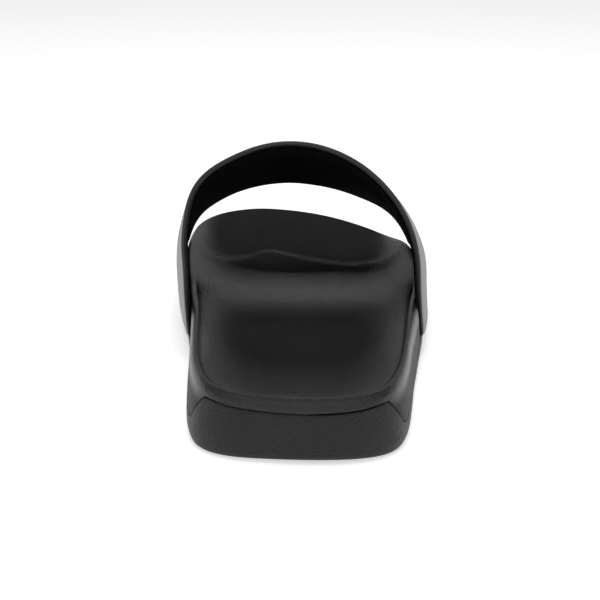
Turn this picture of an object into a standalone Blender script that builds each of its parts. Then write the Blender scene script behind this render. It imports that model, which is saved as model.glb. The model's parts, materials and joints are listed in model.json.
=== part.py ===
"""Sport slide sandal for the right foot: a tray outsole, a moulded midsole that is
also the footbed, and one wide strap that is the whole upper.

The tables are in millimetres: x is across the shoe, minus to the big toe's side,
y is the distance from the back of the heel, and z is the height over the floor.
"""

import math
from collections import namedtuple

import bmesh
import bpy
import numpy as np

MM = 0.001

# Plan of the sole, once round from the middle of the heel by the big toe's side.
# lean is how far the side wall has come in by the time it reaches the rim, rim is
# the rim's height, and band is how far in the groove inside the rim lies.
Edge = namedtuple("Edge", "x y lean rim band")
OUTLINE = (
    Edge(6.0, 0.0, 0.8, 20.0, 7.4),
    Edge(-9.0, 1.4, 1.2, 20.0, 7.4),
    Edge(-22.5, 4.8, 3.0, 20.2, 7.8),
    Edge(-31.8, 12.6, 4.2, 20.4, 8.0),
    Edge(-35.7, 26.0, 3.2, 20.4, 6.0),
    Edge(-37.4, 45.0, 1.8, 20.3, 4.4),
    Edge(-38.6, 70.0, 1.4, 20.2, 3.8),
    Edge(-39.9, 97.0, 1.2, 20.6, 3.7),
    Edge(-42.6, 125.0, 1.1, 21.0, 3.8),
    Edge(-45.3, 153.0, 0.5, 21.6, 2.6),
    Edge(-46.9, 181.0, 0.6, 21.8, 2.6),
    Edge(-47.4, 208.0, 1.3, 21.6, 3.0),
    Edge(-44.4, 233.0, 1.2, 21.2, 3.2),
    Edge(-35.5, 252.5, 1.6, 20.9, 3.6),
    Edge(-19.5, 262.0, 1.8, 20.8, 3.8),
    Edge(-2.0, 258.0, 1.8, 20.7, 3.8),
    Edge(14.5, 247.5, 1.7, 20.3, 3.7),
    Edge(28.6, 231.0, 1.6, 19.9, 3.6),
    Edge(39.0, 211.0, 1.0, 20.0, 3.0),
    Edge(45.0, 189.0, 0.4, 22.3, 2.6),
    Edge(47.4, 163.0, 0.5, 22.0, 2.6),
    Edge(47.4, 138.0, 0.9, 21.2, 3.2),
    Edge(45.4, 112.0, 1.2, 20.8, 4.8),
    Edge(42.0, 86.0, 1.3, 20.4, 4.2),
    Edge(38.8, 61.0, 1.5, 20.2, 3.6),
    Edge(36.5, 39.0, 1.9, 20.2, 4.2),
    Edge(34.0, 21.0, 3.0, 20.3, 6.0),
    Edge(29.4, 9.0, 3.6, 20.2, 7.4),
    Edge(19.4, 2.0, 2.0, 20.0, 7.6),
)

# Columns of the mesh on each side, from the middle of the heel to the tip of the toe.
# A span ends at the station given for its side, and the marks name the first four.
Span = namedtuple("Span", "medial lateral columns")
SPANS = (
    Span(13.5, 9.0, 9),
    Span(23.5, 18.0, 3),
    Span(99.6, 101.6, 12),
    Span(102.0, 104.0, 1),
    Span(201.0, 193.0, 15),
    Span(None, None, 16),
)
PANEL_CORNER, PANEL_FOOT, RECESS_START, RECESS_IN = range(4)
OUTLINE_STEPS = 24

# Under side: flat at the heel and the ball, and lifted between them and at both ends
ARCH_LIFT = 1.0
ARCH_FROM, ARCH_TO = 76.0, 130.0
TOE_SPRING = 7.0
TOE_SPRING_FROM, TOE_SPRING_TO = 202.0, 260.0
TOE_SPRING_CURVE = 1.8
HEEL_BEVEL = 0.8
HEEL_BEVEL_LENGTH = 11.0
EDGE_ROUND = 2.2
EDGE_CORNER = 0.3

# Outsole: a tray whose lip is low along the sides and climbs the heel as a panel
TRAY_FLOOR = 4.4
TRAY_LIP = 2.6
LIP_HEIGHT = 6.5
TOE_LIP_DROP = 1.0
TOE_LIP_LENGTH = 50.0
PANEL_HEIGHT = 16.0
PANEL_CORNER_RISE = 1.1
GAP = 0.3
LINE_CHAMFER = 0.25

# Side wall of the sole, which leans in more and more from its foot to the rim
WALL_FOOT = 3.0
WALL_CURVE = 1.5

# Tread: cross grooves, shallow enough to leave the tray whole
GROOVE_WIDTH = 3.0
GROOVE_DEPTH = 1.6
GROOVE_BORDER = 9.0
GROOVE_STATIONS = (20.0, 31.0, 42.0, 53.0, 64.0, 142.0, 154.0, 166.0, 178.0, 190.0)

# Rim of the midsole. Behind the strap it is full, with a soft groove inside it, and
# further forward it flattens until the footbed runs out to the edge. round is the
# radius of its outer side. The drops are below its crest: at the rim's inner side, at
# the bottom of the groove and where the footbed starts. Beside the strap its outer side
# is rounded less, and its crest lies further out.
Rim = namedtuple("Rim", "round inner groove footbed")
REAR_RIM = Rim(3.0, 0.4, 1.5, 1.2)
FRONT_RIM = Rim(1.3, 0.1, 0.2, 0.5)
RIM_FADES_FROM, RIM_FADES_TO = 122.0, 138.0
RIM_TURNS = (30.0, 60.0, 90.0)
RIM_CREST_SHARE = 0.55
BESIDE_STRAP_ROUND, BESIDE_STRAP_CREST = 1.2, 0.25
RIM_INNER_SHARE = 0.85
RIM_LEAST_WIDTH = 2.2
FOOTBED_EDGE = 1.1

# Wall of the strap, how far it stands out from the sole at its rear edge on each side,
# and the recess that it lies in there, which runs out further forward
Sides = namedtuple("Sides", "medial lateral")
STRAP_WALL = 2.3
STANDS_OUT = Sides(0.7, 1.0)
RECESS_LENGTH = 54.0
RECESS_CURVE = 1.3

# Footbed: its floor along the middle, which bows forward to the sides, by BOW times
# the cube of the distance from the middle and no further out than BOW_REACH
Floor = namedtuple("Floor", "y z")
FLOOR = (
    Floor(0.0, 16.0),
    Floor(14.0, 14.6),
    Floor(30.0, 13.5),
    Floor(50.0, 13.2),
    Floor(70.0, 14.1),
    Floor(86.0, 16.3),
    Floor(100.0, 17.9),
    Floor(112.0, 18.7),
    Floor(121.0, 18.8),
    Floor(138.0, 17.6),
    Floor(155.0, 15.6),
    Floor(170.0, 13.8),
    Floor(180.0, 13.1),
    Floor(190.0, 13.2),
    Floor(205.0, 14.1),
    Floor(222.0, 15.2),
    Floor(244.0, 17.0),
    Floor(262.0, 18.8),
)
MEDIAL_BOW, LATERAL_BOW = 0.0004, 0.00018
BOW_REACH = 36.0
CUP_REACH = 21.0
CUP_CURVE = 2.2

# Toe ridge: the crest's course across the footbed
Crest = namedtuple("Crest", "x y")
CREST = (
    Crest(-48.0, 202.0),
    Crest(-43.0, 192.0),
    Crest(-35.0, 186.5),
    Crest(-25.0, 190.5),
    Crest(-18.0, 195.5),
    Crest(-12.0, 198.5),
    Crest(-5.0, 193.5),
    Crest(4.0, 187.5),
    Crest(12.5, 183.5),
    Crest(22.0, 180.0),
    Crest(29.0, 180.0),
    Crest(35.0, 179.0),
    Crest(41.0, 184.0),
    Crest(47.0, 197.0),
)
CREST_HEIGHT = 2.6
CREST_REAR, CREST_FRONT = 7.5, 8.0

# Spine that the rings of the footbed and of the under side close on. The shares say
# how far in toward it each ring lies.
SPINE_FROM, SPINE_TO = 27.0, 230.0
INNERMOST = 0.93
FLAT_SHARES = (0.45, INNERMOST)
FOOTBED_SHARES = (0.07, 0.15, 0.24, 0.35, 0.48, 0.63, 0.78, INNERMOST)

# Edge of the strap: two corners, at this depth from the outer face, that stand this far
# out beyond the last section
Corner = namedtuple("Corner", "depth out")
STRAP_EDGE = (Corner(0.3, 0.7), Corner(1.2, 0.8))

# Strap, a row for each section from its rear edge to its front edge. The section
# turns round a hub on the crown's line: the medial and lateral columns are the
# radius at that many degrees over the level, and top is the radius straight up.
# Below the hub each side runs down to its foot.
Section = namedtuple(
    "Section",
    "at hub_z crown_y medial_y lateral_y m0 m20 m40 m65 top l65 l40 l20 l0",
)
STRAP = (
    Section(0.00, 34.0, 127.0, 102.8, 104.8, 37.4, 40.2, 43.9, 42.4, 42.3, 43.6, 45.8, 47.7, 49.0),
    Section(0.35, 29.0, 151.0, 134.0, 133.0, 41.8, 42.8, 43.8, 40.6, 40.0, 41.4, 45.4, 49.6, 53.1),
    Section(0.70, 23.0, 175.5, 168.0, 163.0, 44.4, 43.0, 39.8, 36.2, 35.6, 37.0, 42.0, 49.6, 55.2),
    Section(1.00, 18.0, 196.0, 200.5, 193.0, 45.0, 41.8, 36.2, 31.7, 30.4, 32.2, 38.7, 47.9, 54.0),
)
HUB_X = -5.0
HUB_DEGREES = (0.0, 20.0, 40.0, 65.0, 90.0, 115.0, 140.0, 160.0, 180.0)
STRAP_SWEEP = 1.2
STRAP_ACROSS, STRAP_ALONG = 40, 10
ARC_SAMPLES, SIDE_SAMPLES = 60, 20

RUBBER = ("black outsole rubber", (0.011, 0.011, 0.012, 1.0), 0.62)
FOAM = ("black moulded foam", (0.012, 0.012, 0.013, 1.0), 0.72)
LEATHER = ("black coated strap", (0.009, 0.009, 0.010, 1.0), 0.42)


def curve_through(points, steps):
    """Closed smooth curve through the rows, with this many samples to a span."""
    here = np.array(points, float)[:, None]
    before = np.roll(here, 1, axis=0)
    after = np.roll(here, -1, axis=0)
    beyond = np.roll(here, -2, axis=0)
    t = (np.arange(steps) / steps)[None, :, None]
    curve = 0.5 * (
        2 * here
        + (after - before) * t
        + (2 * before - 5 * here + 4 * after - beyond) * t**2
        + (3 * here - before - 3 * after + beyond) * t**3
    )
    return curve.reshape(-1, here.shape[2])


def blend_through(at, table_at, values):
    """Smooth open curve through a table, read at one place or an array of them."""
    table_at = np.asarray(table_at, float)
    values = np.asarray(values, float)
    slopes = np.gradient(values, table_at)
    at = np.clip(at, table_at[0], table_at[-1])
    i = np.clip(np.searchsorted(table_at, at, side="right") - 1, 0, len(table_at) - 2)
    width = table_at[i + 1] - table_at[i]
    t = (at - table_at[i]) / width
    return (
        values[i] * (1 + 2 * t) * (1 - t) ** 2
        + slopes[i] * width * t * (1 - t) ** 2
        + values[i + 1] * t**2 * (3 - 2 * t)
        + slopes[i + 1] * width * t**2 * (t - 1)
    )


def ease(t):
    t = np.clip(t, 0.0, 1.0)
    return t * t * (3 - 2 * t)


class Plan:
    """The sole's outline and what is known at each column of the mesh round it."""

    def __init__(self):
        curve = curve_through(OUTLINE, OUTLINE_STEPS)
        loop = np.vstack([curve, curve[:1]])
        lengths = np.hypot(*np.diff(loop[:, :2], axis=0).T)
        self.loop = loop
        self.arc = np.concatenate([[0.0], np.cumsum(lengths)])
        self.tip = int(np.argmax(loop[:, 1]))
        arcs = self.column_arcs()
        columns = [np.interp(arcs, self.arc, values) for values in loop.T]
        self.x, self.y, self.lean, self.rim, self.band = columns
        self.count = len(arcs)
        across = np.roll(self.x, -1) - np.roll(self.x, 1)
        along = np.roll(self.y, -1) - np.roll(self.y, 1)
        size = np.hypot(across, along)
        # The curve runs clockwise seen from above, so its right hand points inward.
        self.in_x, self.in_y = along / size, -across / size
        self.ground = ground(self.y)
        self.line = self.parting_line()
        self.recess, (self.run_out, self.hub_z) = self.strap_seat()
        self.forward = ease((self.y - RIM_FADES_FROM) / (RIM_FADES_TO - RIM_FADES_FROM))
        self.beside = np.where(self.recess > 0.0, 1.0 - self.forward, 0.0)

    def arc_at(self, side, station):
        """Length round the outline to this station on this side."""
        if station is None:
            return self.arc[self.tip]
        if side == "medial":
            part = slice(0, self.tip + 1)
            return np.interp(station, self.loop[part, 1], self.arc[part])
        part = slice(self.tip, None)
        return np.interp(-station, -self.loop[part, 1], self.arc[part])

    def column_arcs(self):
        medial = [0.0]
        lateral = [self.arc[-1]]
        self.marks = []
        for span in SPANS:
            ends = self.arc_at("medial", span.medial), self.arc_at("lateral", span.lateral)
            for arcs, end in zip((medial, lateral), ends):
                arcs.extend(np.linspace(arcs[-1], end, span.columns + 1)[1:])
            self.marks.append(len(medial) - 1)
        return np.array(medial + lateral[-2:0:-1])

    def steps_from_heel(self):
        """Number of columns from the middle of the heel, the same on both sides."""
        index = np.arange(self.count)
        return np.minimum(index, self.count - index)

    def parting_line(self):
        """Height of the outsole's lip: low at the sides, up over the heel panel."""
        steps = self.steps_from_heel()
        low = self.ground + LIP_HEIGHT
        low -= TOE_LIP_DROP * ease((self.y - TOE_SPRING_FROM) / TOE_LIP_LENGTH)
        corner, foot = self.marks[PANEL_CORNER], self.marks[PANEL_FOOT]
        climb = np.clip((foot - steps) / (foot - corner), 0.0, 1.0)
        high = PANEL_HEIGHT + PANEL_CORNER_RISE * np.minimum(steps / corner, 1.0) ** 2
        return low + (high - low) * climb

    def strap_seat(self):
        """How deep the side is let in for the strap, and how the strap runs out above."""
        on_medial = np.arange(self.count) < self.count // 2
        depth = np.where(on_medial, *(recess(self.y, side) for side in Sides._fields))
        depth = np.where(self.steps_from_heel() >= self.marks[RECESS_IN], depth, 0.0)
        run = np.where(on_medial, *(self.strap_run(side) for side in Sides._fields))
        return depth, run

    def strap_run(self, side):
        """How far out this side of the strap runs up to its hub, and the hub's height."""
        medial = side == "medial"
        stations = [row.medial_y if medial else row.lateral_y for row in STRAP]
        reach = [row.m0 - HUB_X if medial else row.l0 + HUB_X for row in STRAP]
        foot = [abs(strap_foot(self, side, station)) for station in stations]
        run = np.interp(self.y, stations, np.subtract(reach, foot))
        return run, np.interp(self.y, stations, [row.hub_z for row in STRAP])

    def side_x(self, side, station):
        """x of the outline at this station, at its widest height."""
        return np.interp(self.arc_at(side, station), self.arc, self.loop[:, 0])

    def wall_inset(self, z):
        """How far in the side wall is at height z, from its lean."""
        foot = self.ground + WALL_FOOT
        rise = np.clip((z - foot) / (self.rim - foot), 0.0, 1.0)
        return self.lean * rise**WALL_CURVE

    def side_inset(self, z):
        """The wall's inset at height z, or the recess where the strap lies deeper."""
        foot = strap_bottom(self.y)
        let_in = self.recess - self.run_out * side_run((z - foot) / (self.hub_z - foot))
        return np.maximum(self.wall_inset(z), np.where(self.recess > 0.0, let_in, 0.0))

    def rim_shape(self):
        """Radius and drops of the rim at each column."""
        shape = Rim(*(rear + (front - rear) * self.forward for rear, front in zip(REAR_RIM, FRONT_RIM)))
        return shape._replace(round=np.where(self.beside > 0.0, BESIDE_STRAP_ROUND, shape.round))

    def ring(self, inset, z):
        """A ring this far inside the outline, at the height of each column."""
        return np.column_stack([self.x + self.in_x * inset, self.y + self.in_y * inset, z])

    def toward_spine(self, ring, t):
        """The ring drawn in toward the spine, by the share t."""
        other = ring[(-np.arange(self.count)) % self.count]
        middle_x = (ring[:, 0] + other[:, 0]) / 2
        share = (ring[:, 1] + other[:, 1]) / 2 / self.y.max()
        middle_y = SPINE_FROM + (SPINE_TO - SPINE_FROM) * share
        moved = ring.copy()
        moved[:, 0] += (middle_x - ring[:, 0]) * t
        moved[:, 1] += (middle_y - ring[:, 1]) * t
        return moved


def ground(y):
    """Height of the under side over the floor: flat at the heel and the ball."""
    arch = np.clip((y - ARCH_FROM) / (ARCH_TO - ARCH_FROM), 0.0, 1.0)
    toe = np.clip((y - TOE_SPRING_FROM) / (TOE_SPRING_TO - TOE_SPRING_FROM), 0.0, 1.0)
    heel = np.clip((HEEL_BEVEL_LENGTH - y) / HEEL_BEVEL_LENGTH, 0.0, 1.0)
    lift = ARCH_LIFT * np.sin(math.pi * arch) ** 2 + TOE_SPRING * toe**TOE_SPRING_CURVE
    return lift + HEEL_BEVEL * heel**2


def recess(y, side):
    """Depth of this side's recess at this station, deepest where it starts."""
    start = getattr(SPANS[RECESS_IN], side)
    depth = STRAP_WALL + GAP - getattr(STANDS_OUT, side)
    return depth * np.clip(1 - (y - start) / RECESS_LENGTH, 0.0, 1.0) ** RECESS_CURVE


def footbed_floor(x, y):
    """Height of the footbed away from its rim, with the ridge under the toes."""
    stations = [row.y for row in FLOOR]
    heights = [row.z for row in FLOOR]
    bow = np.where(x < 0, MEDIAL_BOW, LATERAL_BOW)
    reach = BOW_REACH * np.tanh(np.abs(x) / BOW_REACH)
    z = blend_through(y - bow * reach**3, stations, heights)
    crest = blend_through(x, [row.x for row in CREST], [row.y for row in CREST])
    width = np.where(y < crest, CREST_REAR, CREST_FRONT)
    return z + CREST_HEIGHT * np.exp(-(((y - crest) / width) ** 2))


def skin(mesh, rings, closed_start, closed_end):
    """Faces between successive rings, with the first and last ring zipped shut."""
    loops = [[mesh.verts.new(point * MM) for point in ring] for ring in rings]
    count = len(loops[0])
    for low, high in zip(loops, loops[1:]):
        for i in range(count):
            j = (i + 1) % count
            mesh.faces.new((low[i], high[i], high[j], low[j]))
    for loop, wanted, turned in ((loops[0], closed_start, True), (loops[-1], closed_end, False)):
        if not wanted:
            continue
        for i in range(count // 2):
            corners = [loop[i], loop[(-i) % count], loop[-i - 1], loop[i + 1]]
            corners = [corner for k, corner in enumerate(corners) if corner not in corners[:k]]
            mesh.faces.new(corners if turned else corners[::-1])


def made_object(name, mesh, look, shoe):
    """A smooth-shaded object of this mesh, under the shoe's empty."""
    bmesh.ops.recalc_face_normals(mesh, faces=mesh.faces)
    data = bpy.data.meshes.new(name)
    mesh.to_mesh(data)
    mesh.free()
    data.shade_smooth()
    data.set_sharp_from_angle(angle=math.radians(40))
    material_name, colour, roughness = look
    material = bpy.data.materials.new(material_name)
    material.use_nodes = True
    shader = material.node_tree.nodes["Principled BSDF"]
    shader.inputs["Base Color"].default_value = colour
    shader.inputs["Roughness"].default_value = roughness
    shader.inputs["Metallic"].default_value = 0.0
    data.materials.append(material)
    made = bpy.data.objects.new(name, data)
    bpy.context.scene.collection.objects.link(made)
    made.parent = shoe
    return made


def flat_rings(plan, outermost, height):
    """Rings from near this one in to the spine, at this height over the under side."""
    rings = [plan.toward_spine(outermost, share) for share in FLAT_SHARES]
    for ring in rings:
        ring[:, 2] = ground(ring[:, 1]) + height
    return rings


def outsole(plan, shoe):
    """Tray with a rounded under edge, whose lip takes the midsole."""
    bottom = plan.ring(EDGE_ROUND, plan.ground)
    rings = flat_rings(plan, bottom, 0.0)[::-1]
    rings.append(bottom)
    corner = EDGE_ROUND * EDGE_CORNER
    rings.append(plan.ring(corner, plan.ground + corner))
    rings.append(plan.ring(0.0, plan.ground + EDGE_ROUND))
    top = plan.line
    middle = (plan.ground + EDGE_ROUND + top - LINE_CHAMFER) / 2
    rings.append(plan.ring(plan.wall_inset(middle), middle))
    rings.append(plan.ring(plan.wall_inset(top - LINE_CHAMFER), top - LINE_CHAMFER))
    rings.append(plan.ring(plan.wall_inset(top) + LINE_CHAMFER, top))
    rings.append(plan.ring(plan.wall_inset(top) + TRAY_LIP, top))
    floor = plan.ring(plan.wall_inset(top) + TRAY_LIP, plan.ground + TRAY_FLOOR)
    rings.append(floor)
    rings += flat_rings(plan, floor, TRAY_FLOOR)
    mesh = bmesh.new()
    skin(mesh, rings, True, True)
    return made_object("outsole", mesh, RUBBER, shoe)


def groove_cutter(plan, shoe):
    """One bar for each cross groove of the tread, as long as the sole is wide there."""
    mesh = bmesh.new()
    for station in GROOVE_STATIONS:
        left = plan.side_x("medial", station) + GROOVE_BORDER
        right = plan.side_x("lateral", station) - GROOVE_BORDER
        bar = bmesh.ops.create_cube(mesh, size=1.0)["verts"]
        size = (right - left, GROOVE_WIDTH, 2 * GROOVE_DEPTH)
        bmesh.ops.scale(mesh, vec=[side * MM for side in size], verts=bar)
        bmesh.ops.translate(mesh, vec=((left + right) / 2 * MM, station * MM, 0.0), verts=bar)
    cutter = made_object("groove_cutter", mesh, RUBBER, shoe)
    cutter.hide_render = True
    cutter.display_type = "WIRE"
    return cutter


def cut(target, cutter):
    """Boolean difference that stays on the object."""
    modifier = target.modifiers.new("tread grooves", "BOOLEAN")
    modifier.operation = "DIFFERENCE"
    modifier.solver = "EXACT"
    modifier.use_self = True
    modifier.object = cutter


def midsole(plan, shoe):
    """Foam body with the footbed moulded into its top."""
    line = plan.line + GAP
    seat_inset = plan.wall_inset(plan.line) + TRAY_LIP + GAP
    seat = plan.ring(seat_inset, plan.ground + TRAY_FLOOR + GAP)
    rings = flat_rings(plan, seat, TRAY_FLOOR + GAP)[::-1]
    rings.append(seat)
    rings.append(plan.ring(seat_inset, line))
    rings.append(plan.ring(plan.side_inset(line) + LINE_CHAMFER, line))
    rim = plan.rim_shape()
    low = line + LINE_CHAMFER
    high = plan.rim - rim.round
    for share in (0.0, 0.5, 1.0):
        z = low + (high - low) * share
        rings.append(plan.ring(plan.side_inset(z), z))
    start = plan.side_inset(high)
    end = np.maximum(plan.band, start + RIM_LEAST_WIDTH)
    crest_share = RIM_CREST_SHARE + (BESIDE_STRAP_CREST - RIM_CREST_SHARE) * plan.beside
    crest = start + (end - start) * crest_share
    for turn in np.radians(RIM_TURNS):
        inset = start + (crest - start) * (1 - math.cos(turn))
        rings.append(plan.ring(inset, high + rim.round * math.sin(turn)))
    rings.append(plan.ring(start + (end - start) * RIM_INNER_SHARE, plan.rim - rim.inner))
    rings.append(plan.ring(end, plan.rim - rim.groove))
    edge_z = plan.rim - rim.footbed
    bed = plan.ring(end + FOOTBED_EDGE, edge_z)
    rings.append(bed)
    for share in FOOTBED_SHARES:
        ring = plan.toward_spine(bed, share)
        reach = np.hypot(ring[:, 0] - bed[:, 0], ring[:, 1] - bed[:, 1])
        floor = footbed_floor(ring[:, 0], ring[:, 1])
        cup = np.clip(1 - reach / CUP_REACH, 0.0, 1.0) ** CUP_CURVE
        ring[:, 2] = floor + (edge_z - floor) * cup
        rings.append(ring)
    mesh = bmesh.new()
    skin(mesh, rings, True, True)
    return made_object("midsole", mesh, FOAM, shoe)


def strap_bottom(y):
    """Height of the strap's lower edge, just over the outsole's lip."""
    return ground(y) + LIP_HEIGHT + GAP


def strap_foot(plan, side, station):
    """x of the strap's outer face where it lies on the side of the sole."""
    out = STRAP_WALL + GAP - recess(station, side)
    return plan.side_x(side, station) + (-out if side == "medial" else out)


def side_run(up):
    """Share of its way out that the strap's side has run at this share of its height."""
    return np.sin(np.clip(up, 0.0, 1.0) * math.pi / 2)


def strap_section(plan, row):
    """Outer line of the strap at one section, evenly spaced from side to side."""
    radii = (row.m0, row.m20, row.m40, row.m65, row.top, row.l65, row.l40, row.l20, row.l0)
    turn = np.linspace(0.0, 180.0, 2 * ARC_SAMPLES + 1)
    radius = blend_through(turn, HUB_DEGREES, radii)
    x = HUB_X - radius * np.cos(np.radians(turn))
    z = row.hub_z + radius * np.sin(np.radians(turn))
    up = np.linspace(0.0, 1.0, SIDE_SAMPLES, endpoint=False)
    even = np.linspace(0.0, 1.0, STRAP_ACROSS // 2 + 1)
    halves = []
    for side, foot_y, order in (("medial", row.medial_y, 1), ("lateral", row.lateral_y, -1)):
        foot_x, foot_z = strap_foot(plan, side, foot_y), strap_bottom(foot_y)
        arc_x, arc_z = (values[::order][: ARC_SAMPLES + 1] for values in (x, z))
        side_x = np.concatenate([foot_x + (arc_x[0] - foot_x) * side_run(up), arc_x])
        side_z = np.concatenate([foot_z + (arc_z[0] - foot_z) * up, arc_z])
        length = np.concatenate([[0.0], np.cumsum(np.hypot(np.diff(side_x), np.diff(side_z)))])
        share = length / length[-1]
        side_y = foot_y + (row.crown_y - foot_y) * ease(share**STRAP_SWEEP)
        line = [np.interp(even, share, values) for values in (side_x, side_y, side_z)]
        halves.append(np.column_stack(line))
    medial, lateral = halves
    return np.vstack([medial, lateral[-2::-1]])


def strap_surface(plan):
    """Outer surface of the strap as a grid, sections from rear to front."""
    sections = np.array([strap_section(plan, row) for row in STRAP])
    at = [row.at for row in STRAP]
    places = np.linspace(0.0, 1.0, STRAP_ALONG + 1)
    grid = np.empty((len(places),) + sections.shape[1:])
    for i in range(sections.shape[1]):
        for axis in range(3):
            grid[:, i, axis] = blend_through(places, at, sections[:, i, axis])
    # The feet stay on the side of the sole between the sections too.
    half = STRAP_ACROSS // 2 + 1
    fade = ease(np.linspace(1.0, 0.0, half))
    for section in grid:
        for side, line in (("medial", section[:half]), ("lateral", section[: -half - 1 : -1])):
            foot_x, station, foot_z = line[0]
            line[:, 0] += (strap_foot(plan, side, station) - foot_x) * fade
            line[:, 2] += (strap_bottom(station) - foot_z) * fade
    return grid


def strap(plan, shoe):
    """One wall of even thickness between its rounded front and rear edges."""
    outer = strap_surface(plan)
    along = np.gradient(outer, axis=0)
    across = np.gradient(outer, axis=1)
    inward = np.cross(along, across)
    inward /= np.linalg.norm(inward, axis=2)[:, :, None]
    if inward[len(outer) // 2, outer.shape[1] // 2, 2] > 0:
        inward = -inward
    inner = outer + inward * STRAP_WALL
    inner[:, (0, -1), 2] = outer[:, (0, -1), 2]
    away = along / np.linalg.norm(along, axis=2)[:, :, None]
    rear = [outer[0] + inward[0] * turn.depth - away[0] * turn.out for turn in STRAP_EDGE]
    front = [outer[-1] + inward[-1] * turn.depth + away[-1] * turn.out for turn in STRAP_EDGE]
    for edge, section in ((rear, outer[0]), (front, outer[-1])):
        for row in edge:
            row[(0, -1), 2] = section[(0, -1), 2]
    mesh = bmesh.new()
    rows = [front[0], *outer[::-1], *rear, *inner, front[1]]
    loops = [[mesh.verts.new(point * MM) for point in row] for row in rows]
    count = len(loops)
    for k in range(count):
        low, high = loops[k], loops[(k + 1) % count]
        for i in range(len(low) - 1):
            mesh.faces.new((low[i], low[i + 1], high[i + 1], high[i]))
    for i in (0, -1):
        for k in range(count // 2 - 1):
            mesh.faces.new((loops[k][i], loops[k + 1][i], loops[-k - 2][i], loops[-k - 1][i]))
    return made_object("strap", mesh, LEATHER, shoe)


def place(shoe, parts):
    """Moves the shoe so that the middle of its box's floor is at the origin."""
    points = np.array([vertex.co for part in parts for vertex in part.data.vertices])
    low, high = points.min(axis=0), points.max(axis=0)
    shoe.location = (-(low[0] + high[0]) / 2, -(low[1] + high[1]) / 2, -low[2])


def main():
    for old in list(bpy.data.objects):
        bpy.data.objects.remove(old, do_unlink=True)
    shoe = bpy.data.objects.new("shoe", None)
    bpy.context.scene.collection.objects.link(shoe)
    plan = Plan()
    sole = outsole(plan, shoe)
    cut(sole, groove_cutter(plan, shoe))
    parts = [sole, midsole(plan, shoe), strap(plan, shoe)]
    place(shoe, parts)


if __name__ == "__main__":
    main()
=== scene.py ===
"""Finish of a sport slide sandal for the right foot: a moulded foam sole in a rubber
tray, and one lined strap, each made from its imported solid. Lengths are in metres.
"""

import json
import math
from collections import namedtuple
from statistics import median_low

import bmesh
import bpy
from bpy.props import FloatProperty, FloatVectorProperty, PointerProperty
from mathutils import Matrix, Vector

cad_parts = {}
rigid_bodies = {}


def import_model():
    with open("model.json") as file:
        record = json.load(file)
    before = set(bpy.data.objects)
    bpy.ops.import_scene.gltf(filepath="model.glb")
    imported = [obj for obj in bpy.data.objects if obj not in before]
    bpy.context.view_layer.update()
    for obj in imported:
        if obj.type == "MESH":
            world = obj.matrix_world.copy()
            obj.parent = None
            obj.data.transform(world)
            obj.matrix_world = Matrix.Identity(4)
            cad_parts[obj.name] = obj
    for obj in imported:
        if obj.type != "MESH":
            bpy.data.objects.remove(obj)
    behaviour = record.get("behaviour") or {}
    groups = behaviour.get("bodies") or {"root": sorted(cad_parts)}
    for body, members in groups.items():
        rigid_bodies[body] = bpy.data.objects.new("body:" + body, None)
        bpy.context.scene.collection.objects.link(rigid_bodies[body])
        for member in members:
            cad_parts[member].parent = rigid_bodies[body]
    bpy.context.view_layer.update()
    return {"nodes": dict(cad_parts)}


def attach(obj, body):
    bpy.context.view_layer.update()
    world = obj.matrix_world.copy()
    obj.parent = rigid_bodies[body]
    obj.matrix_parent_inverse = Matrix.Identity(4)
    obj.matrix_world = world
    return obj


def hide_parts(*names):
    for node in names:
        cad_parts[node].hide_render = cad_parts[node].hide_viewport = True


bl_info = {
    "name": "Slide sandal",
    "version": (1, 0, 0),
    "blender": (4, 5, 0),
    "location": "3D View > Sidebar > Slide",
    "description": "Finishes a sport slide sandal: foam sole, rubber tray, lined strap and stage",
    "category": "Object",
}

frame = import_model()

MM = 0.001
WHITE = (1.0, 1.0, 1.0, 1.0)

# Points closer than this are one, and edges that turn by more than this stay crisp
MERGE = 1e-7
SHARP = math.radians(60)

# A colour Mix node's own sockets, whose names its other sockets share
MIX_A, MIX_B, MIX_RESULT = 6, 7, 2

# How a surface takes the light, and how strongly its grain shows
Finish = namedtuple("Finish", "roughness specular grain")
RUBBER_FINISH = Finish(roughness=0.48, specular=0.45, grain=1.0)
WALL_FINISH = Finish(roughness=0.5, specular=0.2, grain=0.7)
RIM_FINISH = Finish(roughness=0.31, specular=0.55, grain=0.7)
FOOTBED_FINISH = Finish(roughness=0.33, specular=0.42, grain=0.9)
COATING_FINISH = Finish(roughness=0.36, specular=0.5, grain=0.35)
LINING_FINISH = Finish(roughness=0.95, specular=0.05, grain=1.0)
FLOOR_FINISH = Finish(roughness=0.9, specular=0.1, grain=0.0)
LINING_SHEEN, LINING_SHEEN_ROUGHNESS = 0.01, 0.5

# Soft patches in a colour: how wide they are, and by what share they are off the colour
Mottle = namedtuple("Mottle", "size share")
MOULDED_MOTTLE = Mottle(size=18 * MM, share=0.18)
COATING_MOTTLE = Mottle(size=25 * MM, share=0.12)
LINING_MOTTLE = Mottle(size=3 * MM, share=0.5)

# The grit over the pits of a moulded grain: times as fine, and times as deep
GRIT_FINER, GRIT_DEEPER = 2.2, 1.5

LINING_NAME = "brushed microfibre lining"


def linear(hex_colour):
    """Scene colour of an sRGB hex value."""
    values = [int(hex_colour[i : i + 2], 16) / 255 for i in (1, 3, 5)]
    return [v / 12.92 if v <= 0.04045 else ((v + 0.055) / 1.055) ** 2.4 for v in values]


def colour_property(name, hex_colour, description):
    return FloatVectorProperty(
        name=name,
        description=description,
        default=linear(hex_colour),
        min=0.0,
        max=1.0,
        subtype="COLOR",
        size=3,
    )


def number_property(name, default, description, **settings):
    return FloatProperty(name=name, description=description, default=default, **settings)


def length_property(name, millimetres, description):
    return number_property(
        name, millimetres * MM, description, subtype="DISTANCE", unit="LENGTH", precision=5
    )


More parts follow.
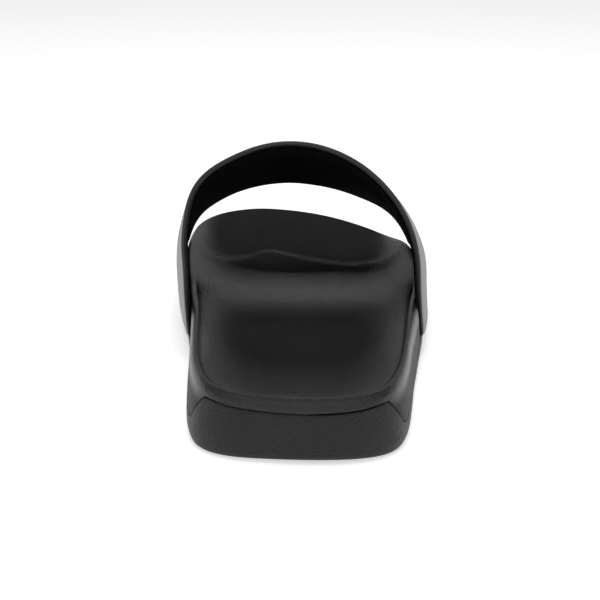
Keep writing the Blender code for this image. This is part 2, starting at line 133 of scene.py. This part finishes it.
class SoleLook(bpy.types.PropertyGroup):
    rubber: colour_property("Rubber", "#131314", "Moulded rubber of the tray")
    foam: colour_property("Foam", "#131314", "Moulded foam of the side wall and the rim")
    # Same foam as the wall, painted darker: painted shade for the cup and the strap's shadow over
    # it
    footbed: colour_property("Footbed", "#090909", "The foam under the foot")
    # The real grain is about 0.4 mm wide, too fine to show, so it is drawn twice as coarse
    grain: length_property("Grain", 0.9, "Width of one pit of the moulded grain")
    grain_depth: length_property("Grain depth", 0.3, "Depth of the moulded grain")
    polish_low: length_property("Polish from", 14.0, "Height where the foam starts to shine")
    polish_high: length_property("Polish to", 17.0, "Height from where the foam shines fully")
    line_drop: length_property("Line drop", 0.2, "How far the foam settles at its parting line")
    rim_end: length_property("Rim end", -1.1, "Where the raised rim ends under the strap")


class StrapLook(bpy.types.PropertyGroup):
    coating: colour_property("Coating", "#141415", "Coated face and edge of the strap")
    # The lining's own black, darkened further by painted shade for the inside of the strap
    lining: colour_property("Lining", "#020202", "Brushed lining of the strap")
    grain: length_property("Grain", 0.8, "Width of one cell of the coating's grain")
    grain_depth: length_property("Grain depth", 0.06, "Depth of the coating's grain")
    edge_round: length_property("Edge rounding", 0.6, "Rounding along the strap's edges")
    groove_inset: length_property("Groove inset", 1.1, "Edge to the pressed groove")
    groove_width: length_property("Groove width", 0.5, "Width of the pressed groove")
    groove_depth: length_property("Groove depth", 0.22, "Depth of the pressed groove")
    lining_inset: length_property("Lining inset", 0.8, "Strap's edge to the lining's edge")
    lining_thickness: length_property("Lining thickness", 0.35, "How far the lining stands in")
    lining_foot: length_property("Lining foot", 21.5, "Height where the lining's show ends")
    # Real fibres are a few hundredths of a millimetre, and are drawn thicker to show
    nap: length_property("Nap", 0.7, "Width of one tuft of the lining's nap")
    nap_depth: length_property("Nap depth", 0.3, "Depth of the lining's nap")
    pile_length: length_property("Pile length", 0.9, "Length of the lining's bristles")
    pile_width: length_property("Pile width", 0.11, "Width of a bristle at its foot")
    pile_count: number_property("Pile density", 2.0, "Bristles to a square millimetre")


class StageLook(bpy.types.PropertyGroup):
    floor: colour_property("Floor", "#F4F4F4", "Pale studio floor")
    floor_glow: number_property("Floor glow", 0.57, "Strength of the floor's own light")
    room: number_property("Room", 0.04, "Strength of the room's light")
    top_light: number_property("Top light", 3.3, "Radiance overhead")
    side_light: number_property("Side light", 0.4, "Radiance at the sides")
    rear_light: number_property("Rear light", 1.5, "Radiance behind the camera")
    front_light: number_property("Front light", 1.35, "Radiance low in front")
    camera_behind: length_property("Camera distance", 564.1, "Shoe's middle back to the camera")
    camera_height: length_property("Camera height", 178.0, "Floor to the camera")
    camera_pitch: number_property(
        "Camera pitch",
        math.radians(16.2),
        "How far the camera looks down",
        subtype="ANGLE",
        unit="ROTATION",
    )
    lens: number_property("Lens", 92.4, "Focal length in millimetres")


def add(tree, kind, inputs=None, **settings):
    """Adds a node. An input is given a value, or the socket that it is linked from."""
    node = tree.nodes.new(kind)
    for name, value in settings.items():
        setattr(node, name, value)
    for name, value in (inputs or {}).items():
        if isinstance(value, bpy.types.NodeSocket):
            tree.links.new(value, node.inputs[name])
        else:
            node.inputs[name].default_value = value
    return node


def new_material(name, finish):
    """A material with this finish, its nodes, its shader and its object coordinates."""
    material = bpy.data.materials.new(name)
    material.use_nodes = True
    tree = material.node_tree
    shader = tree.nodes["Principled BSDF"]
    shader.inputs["Roughness"].default_value = finish.roughness
    shader.inputs["Specular IOR Level"].default_value = finish.specular
    place = add(tree, "ShaderNodeTexCoord").outputs["Object"]
    return material, tree, shader, place


def mottled(tree, place, colour, mottle):
    """The colour, lighter and darker in soft patches."""
    patches = add(
        tree, "ShaderNodeTexNoise", {"Vector": place, "Scale": 1 / mottle.size, "Detail": 3.0}
    )
    low = [value * (1 - mottle.share) for value in colour] + [1.0]
    high = [value * (1 + mottle.share) for value in colour] + [1.0]
    return add(
        tree,
        "ShaderNodeMix",
        {"Factor": patches.outputs["Fac"], MIX_A: low, MIX_B: high},
        data_type="RGBA",
    ).outputs[MIX_RESULT]


def moulded_grain(tree, place, size, depth, strength):
    """Bump of a spark-eroded mould: round pits of this size under finer grit."""
    pits = add(tree, "ShaderNodeTexVoronoi", {"Vector": place, "Scale": 1 / size})
    grit = add(
        tree,
        "ShaderNodeTexNoise",
        {"Vector": place, "Scale": GRIT_FINER / size, "Detail": 4.0, "Roughness": 0.65},
    )
    coarse = add(
        tree,
        "ShaderNodeBump",
        {"Height": pits.outputs["Distance"], "Strength": strength, "Distance": depth},
    )
    return add(
        tree,
        "ShaderNodeBump",
        {
            "Height": grit.outputs["Fac"],
            "Strength": strength,
            "Distance": depth * GRIT_DEEPER,
            "Normal": coarse.outputs["Normal"],
        },
    )


def moulded_material(name, colour, finish, look):
    material, tree, shader, place = new_material(name, finish)
    shade = mottled(tree, place, colour, MOULDED_MOTTLE)
    tree.links.new(shade, shader.inputs["Base Color"])
    bump = moulded_grain(tree, place, look.grain, look.grain_depth, finish.grain)
    tree.links.new(bump.outputs["Normal"], shader.inputs["Normal"])
    return material


def rubber_material(look):
    """Rubber from a spark-eroded mould: matt black with an even fine grain."""
    return moulded_material("moulded rubber", look.rubber, RUBBER_FINISH, look)


def footbed_material(look):
    """EVA foam from a smoother mould: satin, so that soft light shows its hollows.
    Its colour is darker than the wall's foam of the same moulding: painted shade.
    """
    return moulded_material("moulded EVA footbed", look.footbed, FOOTBED_FINISH, look)


def foam_material(look):
    """EVA foam that is dull on the side wall and grows smoother and shinier up to the
    rim, which draws a soft line of light round the heel."""
    material = moulded_material("moulded EVA foam", look.foam, WALL_FINISH, look)
    tree = material.node_tree
    shader = tree.nodes["Principled BSDF"]
    place = add(tree, "ShaderNodeTexCoord").outputs["Object"]
    height = add(tree, "ShaderNodeSeparateXYZ", {"Vector": place}).outputs["Z"]
    for name, wall, rim in (
        ("Roughness", WALL_FINISH.roughness, RIM_FINISH.roughness),
        ("Specular IOR Level", WALL_FINISH.specular, RIM_FINISH.specular),
    ):
        blend = add(
            tree,
            "ShaderNodeMapRange",
            {
                "Value": height,
                "From Min": look.polish_low,
                "From Max": look.polish_high,
                "To Min": wall,
                "To Max": rim,
            },
        )
        tree.links.new(blend.outputs["Result"], shader.inputs[name])
    return material


def coating_material(look):
    """Polyurethane-coated microfibre: smooth satin with a fine leather grain."""
    material, tree, shader, place = new_material("polyurethane coating", COATING_FINISH)
    shade = mottled(tree, place, look.coating, COATING_MOTTLE)
    tree.links.new(shade, shader.inputs["Base Color"])
    cells = add(tree, "ShaderNodeTexVoronoi", {"Vector": place, "Scale": 1 / look.grain})
    bump = add(
        tree,
        "ShaderNodeBump",
        {
            "Height": cells.outputs["Distance"],
            "Strength": COATING_FINISH.grain,
            "Distance": look.grain_depth,
        },
    )
    tree.links.new(bump.outputs["Normal"], shader.inputs["Normal"])
    return material


def lining_material(look):
    """Brushed microfibre, one material for all of the lining: its own black, deepened past a
    real fleece's by painted shade for the inside of the strap. It hardly shines, and has a
    faint sheen where it is seen edge on."""
    if LINING_NAME in bpy.data.materials:
        return bpy.data.materials[LINING_NAME]
    material, tree, shader, place = new_material(LINING_NAME, LINING_FINISH)
    shade = mottled(tree, place, look.lining, LINING_MOTTLE)
    tree.links.new(shade, shader.inputs["Base Color"])
    shader.inputs["Sheen Weight"].default_value = LINING_SHEEN
    shader.inputs["Sheen Roughness"].default_value = LINING_SHEEN_ROUGHNESS
    nap = add(
        tree,
        "ShaderNodeTexNoise",
        {"Vector": place, "Scale": 1 / look.nap, "Detail": 5.0, "Roughness": 0.7},
    )
    bump = add(
        tree,
        "ShaderNodeBump",
        {
            "Height": nap.outputs["Fac"],
            "Strength": LINING_FINISH.grain,
            "Distance": look.nap_depth,
        },
    )
    tree.links.new(bump.outputs["Normal"], shader.inputs["Normal"])
    return material


def take(piece):
    """Makes this piece the only one selected, and active."""
    for other in bpy.context.view_layer.objects:
        other.select_set(False)
    piece.select_set(True)
    bpy.context.view_layer.objects.active = piece


def copy_of(node, name):
    """A piece with this node's own shape, merged and back in quads."""
    piece = bpy.data.objects.new(name, frame["nodes"][node].data.copy())
    bpy.context.scene.collection.objects.link(piece)
    piece.data.name = name
    piece.data.materials.clear()
    take(piece)
    bpy.ops.object.mode_set(mode="EDIT")
    bpy.ops.mesh.customdata_custom_splitnormals_clear()
    bpy.ops.mesh.select_all(action="SELECT")
    bpy.ops.mesh.remove_doubles(threshold=MERGE)
    bpy.ops.mesh.tris_convert_to_quads(
        face_threshold=math.pi, shape_threshold=math.pi, topology_influence=2.0
    )
    bpy.ops.object.mode_set(mode="OBJECT")
    return piece


def pick(piece, kind, wanted):
    """Enters edit mode with just the wanted elements of this kind selected."""
    take(piece)
    bpy.ops.object.mode_set(mode="EDIT")
    bpy.ops.mesh.select_mode(type=kind)
    mesh = bmesh.from_edit_mesh(piece.data)
    elements = {"VERT": mesh.verts, "EDGE": mesh.edges, "FACE": mesh.faces}[kind]
    for group in (mesh.verts, mesh.edges, mesh.faces):
        for element in group:
            element.select_set(False)
    chosen = [element for element in elements if wanted(element)]
    for element in chosen:
        element.select_set(True)
    mesh.select_flush_mode()
    bmesh.update_edit_mesh(piece.data)
    if not chosen:
        raise RuntimeError(f"nothing to pick on {piece.name}")


def crease_sharp(piece):
    """Keeps the piece's sharp edges crisp under subdivision."""
    pick(piece, "EDGE", lambda edge: edge.calc_face_angle(0.0) > SHARP)
    bpy.ops.transform.edge_crease(value=1.0)
    bpy.ops.object.mode_set(mode="OBJECT")


def subdivide(piece, levels):
    """Rounds the piece between its points."""
    take(piece)
    modifier = piece.modifiers.new("smooth", "SUBSURF")
    modifier.levels = levels
    modifier.render_levels = levels
    bpy.ops.object.modifier_apply(modifier=modifier.name)
    bpy.ops.object.shade_smooth()


def finish_piece(piece, node):
    """Hands the piece over: it rides on the shoe's one body and stands for its node."""
    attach(piece, "root")
    if node:
        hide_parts(node)


class SLIDE_OT_outsole(bpy.types.Operator):
    """Rubber tray with its heel panel"""

    bl_idname = "slide.outsole"
    bl_label = "Build outsole"

    def execute(self, context):
        piece = copy_of("outsole", "outsole_tray")
        crease_sharp(piece)
        subdivide(piece, levels=2)
        piece.data.materials.append(rubber_material(context.scene.slide_sole))
        finish_piece(piece, "outsole")
        return {"FINISHED"}


# The flat seat that the midsole stands on in the tray: its faces point down this far and
# are larger than this. Rings of points are counted out from it: the ledge on the tray's
# lip, the start of the edge's round, and the bottom of the groove inside the rim.
SEAT_FACING = -0.8
SEAT_FACE_AREA = 30 * MM * MM
LEDGE_RINGS = (1, 2)
ROUND_RING = 6
GROOVE_RING = 10
FOAM, FOOTBED = range(2)


def neighbours(vert):
    return [edge.other_vert(vert) for edge in vert.link_edges]


def is_seat(face):
    return face.normal.z < SEAT_FACING and face.calc_area() > SEAT_FACE_AREA


def ring_numbers(mesh):
    """Counts the rings of points out from the seat, up the side and over the rim."""
    front = list({vert for face in mesh.faces if is_seat(face) for vert in face.verts})
    number = {vert: 0 for vert in front}
    while front:
        following = []
        for vert in front:
            for other in neighbours(vert):
                if other not in number:
                    number[other] = number[vert] + 1
                    following.append(other)
        front = following
    # A stray triangle makes one column count short, which its neighbours put right
    return {
        vert: median_low([number[vert]] + [number[other] for other in neighbours(vert)])
        for vert in number
    }


class SLIDE_OT_midsole(bpy.types.Operator):
    """Foam body with its rim and footbed"""

    bl_idname = "slide.midsole"
    bl_label = "Build midsole"

    def execute(self, context):
        look = context.scene.slide_sole
        piece = copy_of("midsole", "midsole_footbed")
        piece.data.materials.append(foam_material(look))
        piece.data.materials.append(footbed_material(look))
        ledge = self.share_out(piece, look.rim_end)
        pick(piece, "VERT", lambda vert: vert.index in ledge)
        bpy.ops.transform.translate(value=(0.0, 0.0, -look.line_drop))
        bpy.ops.object.mode_set(mode="OBJECT")
        crease_sharp(piece)
        subdivide(piece, levels=2)
        finish_piece(piece, "midsole")
        return {"FINISHED"}

    def share_out(self, piece, rim_end):
        """Gives the footbed its own foam, and lists the points of the ledge."""
        pick(piece, "VERT", lambda vert: True)
        mesh = bmesh.from_edit_mesh(piece.data)
        number = ring_numbers(mesh)
        for face in mesh.faces:
            limit = ROUND_RING if face.calc_center_median().y > rim_end else GROOVE_RING
            ring = min(number[vert] for vert in face.verts)
            face.material_index = FOAM if ring < limit else FOOTBED
        ledge = {vert.index for vert in mesh.verts if number[vert] in LEDGE_RINGS}
        bmesh.update_edit_mesh(piece.data)
        bpy.ops.object.mode_set(mode="OBJECT")
        return ledge


# The strap's wall turns round this line along the shoe. Its faces are larger than this,
# the edge's faces are smaller, and a face of the wall looks out or in by at least this.
STRAP_AXIS = Vector((-5.0 * MM, 0.0, 22.0 * MM))
WALL_FACE_AREA = 12 * MM * MM
WALL_FACING = 0.5
COATED, LINED = range(2)


def faces_out(face):
    """How far a face of the strap's wall points away from the strap's axis."""
    arm = face.calc_center_median() - STRAP_AXIS
    arm.y = 0.0
    return face.normal.dot(arm.normalized())


def is_outer(face):
    return face.calc_area() > WALL_FACE_AREA and faces_out(face) > WALL_FACING


def is_inner(face):
    return face.calc_area() > WALL_FACE_AREA and faces_out(face) < -WALL_FACING


class SLIDE_OT_strap(bpy.types.Operator):
    """Coated strap with rounded edges and a groove pressed along them"""

    bl_idname = "slide.strap"
    bl_label = "Build strap"

    def execute(self, context):
        look = context.scene.slide_strap
        piece = copy_of("strap", "strap_shell")
        for side in (is_inner, is_outer):
            pick(piece, "FACE", side)
            bpy.ops.mesh.region_to_loop()
            bpy.ops.mesh.bevel(offset=look.edge_round, segments=2, affect="EDGES")
            bpy.ops.object.mode_set(mode="OBJECT")
        self.press_groove(piece, look)
        pick(piece, "FACE", is_inner)
        for face in bmesh.from_edit_mesh(piece.data).faces:
            face.material_index = LINED if face.select else COATED
        bpy.ops.object.mode_set(mode="OBJECT")
        subdivide(piece, levels=2)
        piece.data.materials.append(coating_material(look))
        piece.data.materials.append(lining_material(look))
        finish_piece(piece, "strap")
        return {"FINISHED"}

    def press_groove(self, piece, look):
        """Splits a loop inside the outer face's edge in three, and presses its middle in."""
        pick(piece, "FACE", is_outer)
        bpy.ops.mesh.inset(thickness=look.groove_inset)
        bpy.ops.mesh.region_to_loop()
        bpy.ops.mesh.bevel(offset=look.groove_width / 2, segments=2, affect="EDGES")
        bpy.ops.mesh.select_mode(type="VERT")
        bpy.ops.mesh.select_less()
        bpy.ops.transform.shrink_fatten(value=-look.groove_depth)
        bpy.ops.object.mode_set(mode="OBJECT")


class SLIDE_OT_lining(bpy.types.Operator):
    """Brushed lining inside the strap, and its pile"""

    bl_idname = "slide.lining"
    bl_label = "Build lining"

    def execute(self, context):
        look = context.scene.slide_strap
        for piece in (self.cloth(look), self.pile(look)):
            finish_piece(piece, None)
        return {"FINISHED"}

    def cloth(self, look):
        """The lining's cloth, a thin sheet half sunk in the strap's wall."""
        piece = self.inner_face("strap_lining", look)
        wall = piece.modifiers.new("thickness", "SOLIDIFY")
        wall.thickness = look.lining_thickness * 2
        wall.offset = 0.0
        bpy.ops.object.modifier_apply(modifier=wall.name)
        crease_sharp(piece)
        subdivide(piece, levels=2)
        piece.data.materials.append(lining_material(look))
        return piece

    def pile(self, look):
        """The bristles that stand on the cloth."""
        piece = self.inner_face("strap_pile", look)
        subdivide(piece, levels=1)
        grow = piece.modifiers.new("pile", "NODES")
        grow.node_group = pile_nodes(look, lining_material(look))
        bpy.ops.object.modifier_apply(modifier=grow.name)
        bpy.ops.object.material_slot_remove_unused()
        return piece

    def inner_face(self, name, look):
        """The strap's inner face, set in from its edge and cut off at the lining's foot."""
        piece = copy_of("strap", name)
        pick(piece, "FACE", is_inner)
        bpy.ops.mesh.select_all(action="INVERT")
        bpy.ops.mesh.delete(type="FACE")
        bpy.ops.mesh.select_all(action="SELECT")
        bpy.ops.mesh.inset(thickness=look.lining_inset, use_boundary=True)
        bpy.ops.mesh.select_all(action="INVERT")
        bpy.ops.mesh.delete(type="FACE")
        bpy.ops.mesh.select_all(action="SELECT")
        bpy.ops.mesh.bisect(
            plane_co=(0, 0, look.lining_foot), plane_no=(0, 0, 1), clear_inner=True
        )
        bpy.ops.object.mode_set(mode="OBJECT")
        return piece


# A bristle's corners, how far it leans either way in radians, the shortest as a share of
# the longest, and the seeds of its place, its lean and its length
BRISTLE_CORNERS = 3
BRISTLE_LEAN = 0.9
BRISTLE_SHORTEST = 0.5
PLACE_SEED, LEAN_SEED, LENGTH_SEED = 3, 5, 7


def pile_nodes(look, material):
    """Short bristles over a surface, each a closed spike, leaning here and there."""
    tree = bpy.data.node_groups.new("pile", "GeometryNodeTree")
    for way in ("INPUT", "OUTPUT"):
        tree.interface.new_socket("Geometry", in_out=way, socket_type="NodeSocketGeometry")
    sheet = add(tree, "NodeGroupInput").outputs["Geometry"]
    points = add(
        tree,
        "GeometryNodeDistributePointsOnFaces",
        {"Mesh": sheet, "Density": look.pile_count / (MM * MM), "Seed": PLACE_SEED},
    )
    spike = add(
        tree,
        "GeometryNodeMeshCone",
        {
            "Vertices": BRISTLE_CORNERS,
            "Radius Top": 0.0,
            "Radius Bottom": look.pile_width / 2,
            "Depth": look.pile_length,
        },
    )
    lean = add(
        tree,
        "FunctionNodeRandomValue",
        {
            "Min": (-BRISTLE_LEAN, -BRISTLE_LEAN, 0.0),
            "Max": (BRISTLE_LEAN, BRISTLE_LEAN, math.tau),
            "Seed": LEAN_SEED,
        },
        data_type="FLOAT_VECTOR",
    )
    turn = add(tree, "FunctionNodeEulerToRotation", {"Euler": lean.outputs["Value"]})
    leant = add(
        tree,
        "FunctionNodeRotateRotation",
        {"Rotation": points.outputs["Rotation"], "Rotate By": turn.outputs["Rotation"]},
        rotation_space="LOCAL",
    )
    length = add(
        tree,
        "FunctionNodeRandomValue",
        {"Min": BRISTLE_SHORTEST, "Max": 1.0, "Seed": LENGTH_SEED},
    )
    grown = add(
        tree,
        "GeometryNodeInstanceOnPoints",
        {
            "Points": points.outputs["Points"],
            "Instance": spike.outputs["Mesh"],
            "Rotation": leant.outputs["Rotation"],
            "Scale": length.outputs[1],
        },
    )
    real = add(tree, "GeometryNodeRealizeInstances", {"Geometry": grown.outputs["Instances"]})
    black = add(
        tree,
        "GeometryNodeSetMaterial",
        {"Geometry": real.outputs["Geometry"], "Material": material},
    )
    add(tree, "NodeGroupOutput", {"Geometry": black.outputs["Geometry"]})
    return tree


# Softboxes round the shoe, with the property that holds each one's radiance, its place
# and its width and height. The one overhead is narrow, so that rounded edges catch a thin
# line of light, and the low strip in front lights the rise before the ball.
Softbox = namedtuple("Softbox", "name radiance place size")
SOFTBOXES = (
    Softbox("top softbox", "top_light", (0.0, 0.0, 1.5), (0.7, 1.8)),
    Softbox("left softbox", "side_light", (-1.3, 0.1, 0.6), (1.6, 1.0)),
    Softbox("right softbox", "side_light", (1.3, 0.1, 0.6), (1.6, 1.0)),
    Softbox("rear softbox", "rear_light", (0.0, -1.8, 0.9), (2.0, 1.2)),
    Softbox("front strip", "front_light", (0.0, 2.0, 0.12), (4.0, 0.24)),
)
FLOOR_SIZE = 12.0


class SLIDE_OT_stage(bpy.types.Operator):
    """Pale floor, soft studio light and the camera"""

    bl_idname = "slide.stage"
    bl_label = "Build stage"

    def execute(self, context):
        look = context.scene.slide_stage
        self.floor(look)
        self.room(context.scene, look.room)
        for box in SOFTBOXES:
            self.light(context.scene, box, getattr(look, box.radiance))
        self.camera(context.scene, look)
        return {"FINISHED"}

    def floor(self, look):
        """Matt white paper that is lit from below too, so that it stays white all over."""
        bpy.ops.mesh.primitive_plane_add(size=FLOOR_SIZE, location=(0, 0, 0))
        floor = bpy.context.active_object
        floor.name = "floor"
        material, _, shader, _ = new_material("matt white paper", FLOOR_FINISH)
        shader.inputs["Base Color"].default_value = (*look.floor, 1.0)
        shader.inputs["Emission Color"].default_value = WHITE
        shader.inputs["Emission Strength"].default_value = look.floor_glow
        floor.data.materials.append(material)

    def room(self, scene, strength):
        world = bpy.data.worlds.new("dim room")
        world.use_nodes = True
        background = world.node_tree.nodes["Background"]
        background.inputs["Color"].default_value = WHITE
        background.inputs["Strength"].default_value = strength
        scene.world = world

    def light(self, scene, box, radiance):
        """A rectangle of light that faces the shoe."""
        data = bpy.data.lights.new(box.name, "AREA")
        data.shape = "RECTANGLE"
        data.size, data.size_y = box.size
        data.energy = radiance * math.pi * data.size * data.size_y
        light = bpy.data.objects.new(box.name, data)
        light.location = box.place
        light.rotation_euler = (-Vector(box.place)).to_track_quat("-Z", "Y").to_euler()
        scene.collection.objects.link(light)

    def camera(self, scene, look):
        """Looks down on the heel from behind, as in the photo."""
        data = bpy.data.cameras.new("camera")
        data.lens = look.lens
        camera = bpy.data.objects.new("camera", data)
        camera.location = (0.0, -look.camera_behind, look.camera_height)
        camera.rotation_euler = (math.pi / 2 - look.camera_pitch, 0.0, 0.0)
        scene.collection.objects.link(camera)
        scene.camera = camera
        scene.view_settings.view_transform = "Standard"


class SLIDE_PT_panel(bpy.types.Panel):
    """Sizes, colours and steps of the slide"""

    bl_label = "Slide sandal"
    bl_idname = "SLIDE_PT_panel"
    bl_space_type = "VIEW_3D"
    bl_region_type = "UI"
    bl_category = "Slide"

    def draw(self, context):
        for group, steps in STEPS:
            box = self.layout.box()
            look = getattr(context.scene, group)
            for name in look.__annotations__:
                box.prop(look, name)
            for step in steps:
                box.operator(step.bl_idname)


STEPS = (
    ("slide_sole", (SLIDE_OT_outsole, SLIDE_OT_midsole)),
    ("slide_strap", (SLIDE_OT_strap, SLIDE_OT_lining)),
    ("slide_stage", (SLIDE_OT_stage,)),
)
GROUPS = {"slide_sole": SoleLook, "slide_strap": StrapLook, "slide_stage": StageLook}
CLASSES = (*GROUPS.values(), *(step for _, steps in STEPS for step in steps), SLIDE_PT_panel)


def register():
    for made in CLASSES:
        bpy.utils.register_class(made)
    for name, group in GROUPS.items():
        setattr(bpy.types.Scene, name, PointerProperty(type=group))


def unregister():
    for name in GROUPS:
        delattr(bpy.types.Scene, name)
    for made in reversed(CLASSES):
        bpy.utils.unregister_class(made)


def main():
    register()
    bpy.ops.slide.outsole()
    bpy.ops.slide.midsole()
    bpy.ops.slide.strap()
    bpy.ops.slide.lining()
    bpy.ops.slide.stage()


if __name__ == "__main__":
    main()
